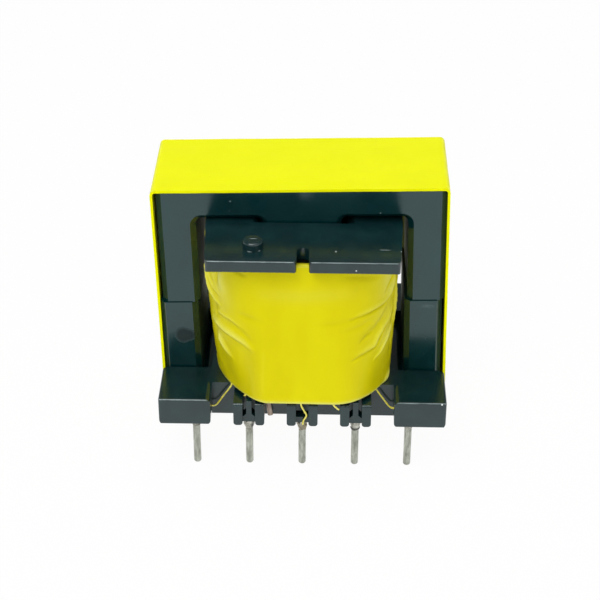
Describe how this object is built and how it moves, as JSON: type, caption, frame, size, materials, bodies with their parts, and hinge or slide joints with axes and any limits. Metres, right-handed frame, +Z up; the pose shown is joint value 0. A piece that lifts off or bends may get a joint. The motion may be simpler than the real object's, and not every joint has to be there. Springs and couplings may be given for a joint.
{
  "type": "pcb transformer",
  "caption": "Vertical through-hole ferrite transformer: taped E core on a dark moulded former, yellow-wrapped winding, and two rows of tinned board pins.",
  "frame": {"origin": "centre of the pin field, on the top face of the circuit board that the part is soldered to", "axes": "+X along the pin rows, to the right seen from the front; +Y from the front row to the rear row; +Z up, away from the board"},
  "size_m": [0.0277, 0.0241, 0.0272],
  "materials": {
    "ferrite": "gloss",
    "phenolic": "satin gloss",
    "yellow_tape": "gloss",
    "yellow_wrap": "satin gloss",
    "copper_wire": "enamelled",
    "enamelled_wire": "enamelled",
    "tinned_tail": "tinned",
    "tinned_steel": "tinned",
    "solder": "soldered"
  },
  "bodies": {
    "root": {"core_upper": "ferrite", "core_lower": "ferrite", "core_tape": "yellow_tape", "bobbin": "phenolic", "primary_winding": "copper_wire", "interlayer_tape": "yellow_tape", "secondary_winding": "copper_wire", "winding_wrap": "yellow_wrap", "lead_tail": "tinned_tail", "pin_1": "tinned_steel", "pin_2": "tinned_steel", "pin_3": "tinned_steel", "pin_4": "tinned_steel", "pin_5": "tinned_steel", "pin_6": "tinned_steel", "pin_7": "tinned_steel", "pin_8": "tinned_steel", "pin_9": "tinned_steel", "pin_10": "tinned_steel", "lead_1": "enamelled_wire", "lead_2": "enamelled_wire", "lead_3": "enamelled_wire", "lead_4": "enamelled_wire", "lead_5": "enamelled_wire", "lead_6": "enamelled_wire", "lead_10": "enamelled_wire", "solder_1": "solder", "solder_2": "solder", "solder_3": "solder", "solder_4": "solder", "solder_5": "solder", "solder_6": "solder", "solder_10": "solder"}
  },
  "joints": []
}
